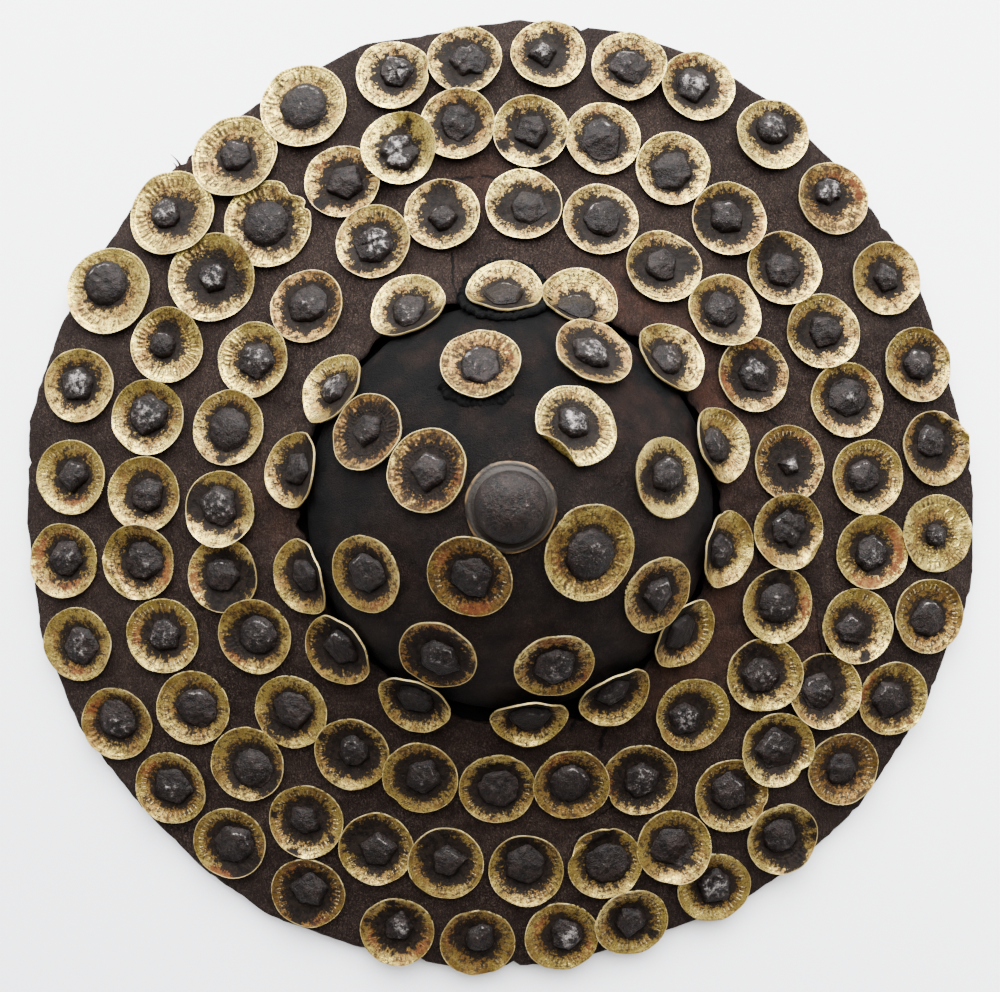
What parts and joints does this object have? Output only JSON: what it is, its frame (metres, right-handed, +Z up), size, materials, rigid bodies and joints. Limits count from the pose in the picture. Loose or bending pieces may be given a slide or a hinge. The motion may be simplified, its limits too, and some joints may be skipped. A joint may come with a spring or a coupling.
{
  "type": "buckler shield",
  "caption": "Round studded leather buckler with a domed boss, dished brass discs under forged nail heads and a hand grip behind, lying on its back.",
  "frame": {"origin": "middle of the rim, on the surface that the shield lies on", "axes": "+Z up through the boss, away from the hand; +X to the right and +Y away from the viewer, seen from the front of the boss"},
  "size_m": [0.2996, 0.3016, 0.0794],
  "materials": {
    "leather": "dark brown thick hide, worn, with fine streaks and rubbed reddish patches",
    "brass": "bright worn rims, brown patina and dark iron stain round the nails",
    "iron": "hand forged, dark grey-brown, bright on its ridges",
    "dark_bronze": "dark brown patina",
    "grip_wood": "plain dark oiled wood"
  },
  "bodies": {
    "root": {"face_leather": "leather", "boss_leather": "leather", "boss_disc_mid_1": "brass", "boss_nail_mid_1": "iron", "boss_disc_mid_2": "brass", "boss_nail_mid_2": "iron", "boss_disc_mid_3": "brass", "boss_nail_mid_3": "iron", "boss_disc_mid_4": "brass", "boss_nail_mid_4": "iron", "boss_disc_mid_5": "brass", "boss_nail_mid_5": "iron", "boss_disc_mid_6": "brass", "boss_nail_mid_6": "iron", "boss_disc_mid_7": "brass", "boss_nail_mid_7": "iron", "boss_disc_mid_8": "brass", "boss_nail_mid_8": "iron", "boss_disc_top_1": "brass", "boss_nail_top_1": "iron", "boss_disc_top_2": "brass", "boss_nail_top_2": "iron", "boss_disc_top_3": "brass", "boss_nail_top_3": "iron", "boss_disc_top_4": "brass", "boss_nail_top_4": "iron", "foot_disc_1": "brass", "foot_nail_1": "iron", "foot_disc_2": "brass", "foot_nail_2": "iron", "foot_disc_3": "brass", "foot_nail_3": "iron", "foot_disc_4": "brass", "foot_nail_4": "iron", "foot_disc_5": "brass", "foot_nail_5": "iron", "foot_disc_6": "brass", "foot_nail_6": "iron", "foot_disc_7": "brass", "foot_nail_7": "iron", "foot_disc_8": "brass", "foot_nail_8": "iron", "foot_disc_9": "brass", "foot_nail_9": "iron", "foot_disc_10": "brass", "foot_nail_10": "iron", "foot_disc_11": "brass", "foot_nail_11": "iron", "foot_disc_12": "brass", "foot_nail_12": "iron", "foot_disc_13": "brass", "foot_nail_13": "iron", "foot_disc_14": "brass", "foot_nail_14": "iron", "centre_washer": "dark_bronze", "centre_nail": "iron", "hand_grip": "grip_wood"}
  },
  "joints": []
}
